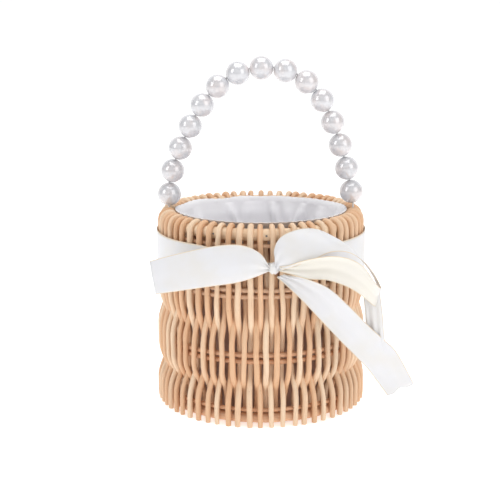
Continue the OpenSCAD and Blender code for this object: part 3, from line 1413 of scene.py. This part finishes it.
@dataclass
class Bow:
    """The satin ribbon: a band round the wall, a knot, one loop and two tails.

    A strip's rows are given in millimetres from the middle of the band's
    front. Each row is one edge, the other edge, and how far the middle bulges.
    """

    palette: Palette
    ribbon_w: float = 28.0 * MM
    ribbon_t: float = 0.35 * MM
    selvedge: float = 0.9 * MM
    knot: tuple[float, float, float] = (9.0, -6.0, 1.5)
    left: tuple = (
        (6, -8, 3, 6, -8, 0, 0),
        (-1, -8, 13, -4, -9, -4, 2.2),
        (-14, -6, 18, -18, -8, -8.5, 2.4),
        (-32, -4, 17, -38, -6, -12, 1.8),
        (-57, 2, 10.5, -58, 0, -16.5, 1),
        (-79, 10, 3, -75, 6, -20.5, 0.5),
    )
    right: tuple = (
        (16, -10, -2, 11, -9, -4, 0),
        (31, -10, -5, 19, -10, -11, 2),
        (47.5, -8, -12.5, 30, -8, -22.5, 2.4),
        (61, -6, -25, 41, -6, -35, 1.8),
        (76.5, -2, -41.5, 57, -3, -53, 1),
        (88, 2, -53, 68, 0, -65, 0.6),
        (98, 6, -64, 78, 4, -77, 0.4),
        (112, 14, -90, 92, 8, -97, 0),
    )
    loop: tuple = (
        (10, -8, 5, 12, -9, 0, 0),
        (9, -8, 15, 16, -12, 2, -1),
        (14, -6, 24, 24, -16, 5.5, -2.6),
        (27, -4, 29, 37, -19, 11, -3),
        (40, -1, 28, 48, -19, 16, -2.4),
        (54, 4, 20, 60, -15, 15, -1.2),
        (66, 10, 9, 70, -9, 8, -0.6),
        (77, 12, -3, 78, -5, -2, -0.3),
        (84, 10, -17, 84, -4, -13, 0),
        (82, 1, -28, 80, -8, -9, 0.2),
        (70, -10, -17, 71, -13, 4, 0.8),
        (60, -18, -9, 60, -19, 11.5, 1.8),
        (46, -23, -3, 46, -23, 14, 2.6),
        (32, -21, -2.5, 30, -20, 10.5, 2.4),
        (21, -15, -1, 20, -15, 6, 1.2),
        (13, -10, 0, 13, -11, 4, 0),
    )
    fold: tuple = (
        (72, 2, -15, 84, 0, -18, 0.6),
        (74, 2, -32, 86, 0, -32, 0.8),
        (76, 4, -49, 88, 2, -50, 0.8),
        (79, 6, -62, 90, 4, -62, 0.6),
    )

    def build(self) -> None:
        """Ties the ribbon."""
        low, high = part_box("ribbon_band")
        self.anchor = Vector((0.0, low.y, (low.z + high.z) / 2))
        self._band(high)
        self._knot()
        never = 2.0
        # the last column is where painted warm reflection starts along the strip, over 1 for never
        plans = [
            ("bow_tail_left", self.left, 60, ["tail_left"], (26, 94), "hung", 0.0, never),
            ("bow_tail_right", self.right, 90, ["tail_right"], (26, 146), "hung", 2.0, never),
            ("bow_loop_satin", self.loop, 150, ["bow_loop"], (26, 200), "folded", 0.0, 0.52),
            ("bow_loop_fall", self.fold, 40, [], (13, 50), "folded", 0.0, never),
        ]
        for name, rows, count, nodes, flat, held, notch, painted_warm_reflection in plans:
            piece = self._strip(name, rows, count, notch, painted_warm_reflection)
            settle(piece, Slot.RIBBON, *nodes)

    def _strip(
        self, name: str, rows: Sequence[tuple], count: int, notch: float, start: float
    ) -> bpy.types.Object:
        """Lofts one strip of ribbon between its two edges.

        Args:
            name: The piece's name.
            rows: The strip's rows.
            count: Steps along it.
            notch: How uneven its cut end is, in millimetres.
            start: Share of its length where the painted warm reflection begins, over 1 for never.

        Returns:
            The piece.
        """
        line = spline(rows, count)
        a = np.array(self.anchor) + line[:, 0:3] * MM
        b = np.array(self.anchor) + line[:, 3:6] * MM
        bulge = line[:, 6] * MM
        middle = (a + b) / 2
        face = np.cross(np.gradient(middle, axis=0), b - a)
        face /= np.linalg.norm(face, axis=1)[:, None]
        width = np.linalg.norm(b - a, axis=1)
        columns = 22
        grid = np.zeros((count, columns, 3))
        for j, t in enumerate(np.linspace(0, 1, columns)):
            arch = 4 * t * (1 - t)
            tight = np.clip(1 - width / self.ribbon_w, 0, 1)
            pleat = np.sin(t * 5 * math.pi + 0.6) * 1.1 * MM * tight**1.2
            ripple = np.array([wander(i / count * 5, t * 1.7, len(name)) for i in range(count)])
            lift = bulge * arch + pleat + ripple * 0.5 * MM
            grid[:, j] = a + (b - a) * t + face * lift[:, None]
        if notch:
            ahead = grid[-1] - grid[-2]
            ahead /= np.linalg.norm(ahead, axis=1)[:, None]
            wave = np.sin(np.linspace(0, 3 * math.pi, columns)) * notch * 0.5 * MM
            grid[-1] += ahead * wave[:, None]
        # painted warm reflection: from start on, each row is marked to take the warm colour
        painted_warm_reflection = [smooth((i / count - start) / 0.12) for i in range(count)]
        return cloth(name, grid, self.ribbon_t, self.palette.satin, False, self.selvedge, painted_warm_reflection)

    def _band(self, high: Vector) -> None:
        """Wraps the band round the wall, gathered in towards the knot.

        Args:
            high: Highest corner of the band's CAD node.
        """
        rows, columns = 260, 14
        grid = np.zeros((rows, columns, 3))
        knot_turn = math.atan2(self.anchor.y, self.knot[0] * MM)
        for i in range(rows):
            a = TAU * i / rows
            off = abs((a - knot_turn + math.pi) % TAU - math.pi)
            spread = 0.2 + 0.8 * smooth((math.degrees(off) - 3) / 38)
            middle = self.anchor.z + 0.9 * MM * wander(math.cos(a) * 1.3, math.sin(a) * 1.3, 3)
            middle += 1.5 * MM * (1 - spread)
            for j, t in enumerate(np.linspace(-0.5, 0.5, columns)):
                tuck = 0.5 * MM * abs(wander(a * 7, t * 2, 8))
                pleat = math.sin(t * 16) * 1.0 * MM * (1 - spread)
                r = high.x - 0.4 * MM - tuck * 0.4 + pleat + 0.8 * MM * (1 - spread)
                z = middle + t * self.ribbon_w * spread
                grid[i, j] = (r * math.cos(a), r * math.sin(a), z)
        piece = cloth("ribbon_band_satin", grid, self.ribbon_t, self.palette.satin, True, self.selvedge)
        settle(piece, Slot.RIBBON, "ribbon_band")

    def _knot(self) -> None:
        """Shapes the knot: a short turn of ribbon pulled tight, with pleats."""
        middle = self.anchor + Vector(self.knot) * MM
        half = Vector((3.8, 4.2, 4.2)) * MM
        rings, sides = 26, 44
        points = []
        for k in range(rings):
            lean = math.pi * (k + 0.5) / rings
            for c in range(sides):
                a = TAU * c / sides
                pleat = 1 + 0.07 * math.sin(math.cos(lean) * 9 + 1.5 * math.sin(a))
                pinch = 1 + 0.08 * wander(math.cos(a) * 2, math.sin(a) * 2, lean)
                r = math.sin(lean) ** 0.7 * pleat * pinch
                offset = (math.cos(lean) * half.x, r * math.cos(a) * half.y, r * math.sin(a) * half.z)
                points.append(middle + Vector(offset))
        faces = quads(rings, sides, True)
        faces.append(list(range(sides)))
        faces.append([(rings - 1) * sides + c for c in range(sides)][::-1])
        points = np.array([tuple(p) for p in points])
        edge = np.zeros(len(points))
        uvs = points[:, [0, 2]]
        piece = mesh_piece("bow_knot_satin", points, faces, self.palette.satin, uvs, edge=edge)
        point_outwards(piece)
        settle(piece, Slot.RIBBON, "bow_knot")


@dataclass
class Handle:
    """The bail: pearls strung on a wire that hooks round the rim hoop."""

    palette: Palette
    rings: int = 26
    sides: int = 52
    bore: float = 0.69 * MM
    lead_in: float = 0.3 * MM
    proud: float = 0.02 * MM

    def build(self) -> None:
        """Strings the pearls and dresses the wire."""
        wire = frame["nodes"]["handle_wire"]
        for held in wire.material_slots:
            held.link = "OBJECT"
            held.material = self.palette.wire
        for joint in frame["joints"]:
            if joint["child"].startswith("pearl"):
                self._pearl(joint["child"], Vector(joint["axis"]))

    def _pearl(self, node: str, axis: Vector) -> None:
        """Turns one bored pearl along its own stretch of wire.

        Args:
            node: The pearl's CAD node and body.
            axis: Direction of its bore.
        """
        low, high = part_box(node)
        middle = (low + high) / 2
        ball = (high - low).y / 2
        bore = self.bore
        lip = math.asin(1.5 * bore / ball)
        lean = np.linspace(lip, math.pi - lip, self.rings)
        profile = [(ball * math.sin(t), ball * math.cos(t)) for t in lean]
        rim = ball * math.cos(lip)
        profile += [(bore * 1.1, -rim - self.proud), (bore, -rim + self.lead_in)]
        profile += [(bore, rim - self.lead_in), (bore * 1.1, rim + self.proud)]
        piece = lathe("bead_" + node[-2:], profile, self.palette.pearl, self.sides)
        turn = Vector((0, 0, 1)).rotation_difference(axis.normalized()).to_matrix().to_4x4()
        piece.data.transform(turn)
        for vertex in piece.data.vertices:
            vertex.co += middle
        settle(piece, Slot.PEARL, node, body=node)


@dataclass
class Studio:
    """Pale floor, soft light and the camera."""

    lens: float = 79.2
    stand: tuple[float, float, float] = (0.0, -0.8315, 0.3023)
    pitch: float = 0.222
    shift: float = -0.022
    world: float = 0.34
    aim: tuple[float, float, float] = (0.0, 0.0, 0.12)
    lamps: tuple = (
        # name, place, width and height, watts
        ("left_box", (-1.1, -0.7, 0.75), (0.5, 0.8), 3.7),
        ("right_box", (1.0, -0.9, 0.7), (0.95, 1.1), 5.6),
        ("top_box", (0.0, 0.0, 1.1), (0.8, 0.8), 5.2),
        ("front_box", (0.0, -1.8, 1.0), (1.6, 0.8), 1.0),
    )

    def build(self) -> None:
        """Sets up the floor, lamps, world and camera."""
        self._floor()
        for name, spot, size, power in self.lamps:
            self._lamp(name, Vector(spot), size, power)
        self._world()
        self._camera()

    def _add(self, name: str, data: Any, spot: Sequence[float]) -> bpy.types.Object:
        """Puts a lamp or a camera into the scene."""
        thing = bpy.data.objects.new(name, data)
        thing.location = spot
        bpy.context.scene.collection.objects.link(thing)
        return thing

    def _camera(self) -> None:
        """Places the camera."""
        data = bpy.data.cameras.new("camera")
        data.lens = self.lens
        data.sensor_width = 36
        data.shift_x = self.shift
        data.clip_start = 0.01
        data.clip_end = 50
        camera = self._add("camera", data, self.stand)
        camera.rotation_euler = (math.pi / 2 - self.pitch, 0, 0)
        bpy.context.scene.camera = camera

    def _floor(self) -> None:
        """Lays a white sheet that curves up far behind."""
        run = [(-4.0, 0.0), (-1.0, 0.0), (0.0, 0.0), (2.0, 0.0)]
        run += [(2.0 + math.sin(a), 1 - math.cos(a)) for a in np.linspace(0.2, math.pi / 2, 8)]
        run += [(3.0, 4.0)]
        points = np.array([(x, y, z) for y, z in run for x in (-5.0, -1.0, 1.0, 5.0)])
        floor = mesh_piece("floor", points, quads(len(run), 4), Paper().make("floor_paper"))

    def _lamp(self, name: str, spot: Vector, size: Sequence[float], power: float) -> None:
        """Hangs a soft box that faces the basket.

        Args:
            name: Its name.
            spot: Where it is.
            size: Width and height.
            power: Watts.
        """
        data = bpy.data.lights.new(name, "AREA")
        data.shape = "RECTANGLE"
        data.size, data.size_y = size
        data.energy = power
        lamp = self._add(name, data, spot)
        lamp.rotation_euler = (Vector(self.aim) - spot).to_track_quat("-Z", "Y").to_euler()

    def _world(self) -> None:
        """Surrounds the scene with near-white light."""
        world = bpy.data.worlds.new("studio")
        world.use_nodes = True
        net = Net(world.node_tree)
        net.tree.nodes.clear()
        values = {"Color": (1.0, 1.0, 1.0), "Strength": self.world}
        light = net.add("ShaderNodeBackground", {}, values)
        net.put("ShaderNodeOutputWorld", {}, {"Surface": light})
        bpy.context.scene.world = world
        bpy.context.scene.view_settings.view_transform = "Standard"


def main() -> None:
    """Builds the basket and the studio round it."""
    logging.basicConfig(level=logging.INFO, format="%(name)s: %(message)s")
    palette = Palette()
    Wicker(palette).build()
    Lining(palette).build()
    Bow(palette).build()
    Handle(palette).build()
    Studio().build()


if __name__ == "__main__":
    main()
